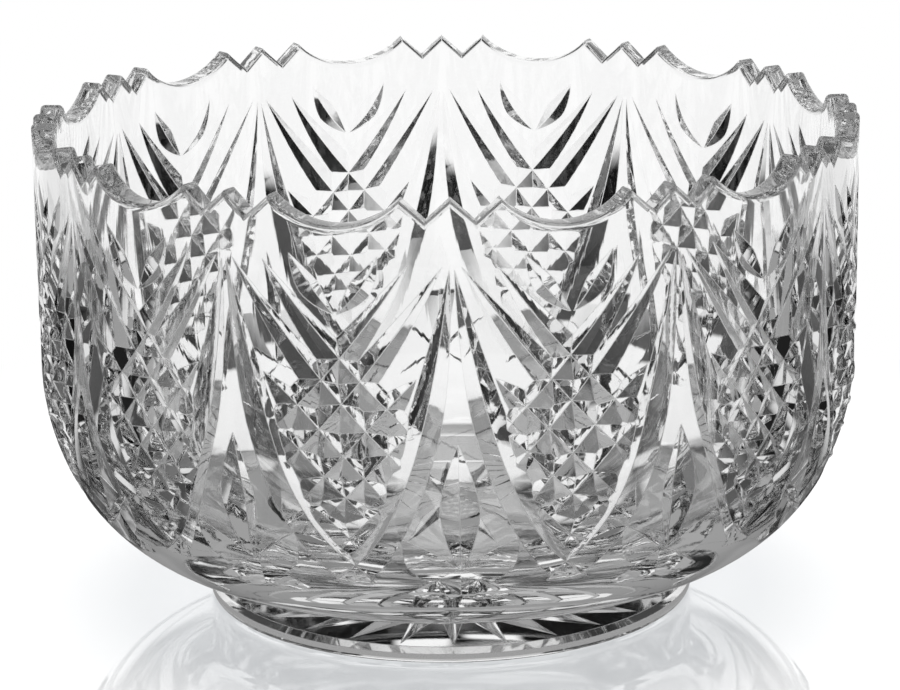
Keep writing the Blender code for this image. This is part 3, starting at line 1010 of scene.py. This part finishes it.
FRONT_SPAN = (math.radians(-20.0), math.radians(9.0))
CEILING_LEVEL = 0.6
CEILING_SPAN = (math.radians(62.0), math.radians(100.0))


def between(tree, split, span):
    """Mask of the directions between two rises."""
    bottom, top = (math.sin(min(angle, math.pi / 2)) for angle in span)
    blur = math.sin(SPAN_BLUR)
    over = smooth_step(tree, split.outputs["Z"], bottom - blur, bottom + blur)
    under = smooth_step(tree, split.outputs["Z"], top - blur, top + blur, 1.0, 0.0)
    return math_node(tree, "MULTIPLY", over, under)


def surroundings(tree, split):
    """Brightness round the bowl by direction, as the glass sees it."""
    wide = sectors(tree, split, 1, WIDE_HALF_WIDTH, WIDE_BLUR)
    tall = sectors(tree, split, 1, TALL_HALF_WIDTH, WIDE_BLUR)
    slit = sectors(tree, split, 1, SLIT_HALF_WIDTH, SLIT_BLUR)
    strips = cross_strips(tree, split)
    front = away_from_back(tree, split, FRONT_LEVEL, FRONT_FROM, WIDE_BLUR)
    low = away_from_back(tree, split, LOW_LEVEL, LOW_FROM, WIDE_BLUR)
    bright = ROOM
    for mask, span in ((wide, WIDE_SPAN), (tall, TALL_SPAN), (slit, SLIT_SPAN), (strips, STRIPS_SPAN),
                       (BAND_LEVEL, BAND_SPAN), (front, FRONT_SPAN), (low, LOW_SPAN),
                       (CEILING_LEVEL, CEILING_SPAN)):
        part = math_node(tree, "MULTIPLY", between(tree, split, span), mask)
        bright = math_node(tree, "MAXIMUM", part, bright)
    return bright


def studio_world():
    world = bpy.data.worlds.new("studio")
    world.use_nodes = True
    tree = world.node_tree
    path = tree.nodes.new("ShaderNodeLightPath")
    split = tree.nodes.new("ShaderNodeSeparateXYZ")
    tree.links.new(tree.nodes.new("ShaderNodeTexCoord").outputs["Generated"], split.inputs["Vector"])
    light = tree.nodes["Background"]
    light.inputs["Color"].default_value = (1.0, 1.0, 1.0, 1.0)
    mirrored = sectors(tree, split, 1, MIRRORED_HALF_WIDTH, WIDE_BLUR)
    mirrored = math_node(tree, "MULTIPLY", mirrored, between(tree, split, MIRRORED_SPAN))
    glossy, transmitted = (path.outputs[kind] for kind in ("Is Glossy Ray", "Is Transmission Ray"))
    mirrored = math_node(tree, "MULTIPLY", mirrored, math_node(tree, "SUBTRACT", glossy, transmitted))
    seen = math_node(tree, "MAXIMUM", surroundings(tree, split), mirrored)
    seen = math_node(tree, "MAXIMUM", seen, path.outputs["Is Camera Ray"])
    tree.links.new(seen, light.inputs["Strength"])
    return world


scene = bpy.context.scene
scene.world = studio_world()
print("world nodes:", len(scene.world.node_tree.nodes))

# %% [markdown]
# ## Lamp and view
# One large soft lamp overhead lights the table and gives the bowl its shadow. It is hidden from the glass,
# because its square would shine from every facet at once. Light crosses many walls of glass before it gets
# to the camera, so the renderer is allowed many bounces.

# %% Lamp and view
LAMP_HEIGHT = 1.6
LAMP_SIZE = 1.6
LAMP_POWER = 38.0
LAMP_BACK = 0.1

lamp = bpy.data.objects.new("overhead", bpy.data.lights.new("overhead", "AREA"))
lamp.data.shape = "SQUARE"
lamp.data.size = LAMP_SIZE
lamp.data.energy = LAMP_POWER
lamp.location = (0.0, LAMP_BACK, LAMP_HEIGHT)
lamp.visible_transmission = False
lamp.visible_glossy = False
scene.collection.objects.link(lamp)
scene.view_settings.view_transform = "Standard"
scene.cycles.max_bounces = 32
scene.cycles.transmission_bounces = 32
scene.cycles.glossy_bounces = 16
scene.cycles.transparent_max_bounces = 32
print("lamp power:", lamp.data.energy)
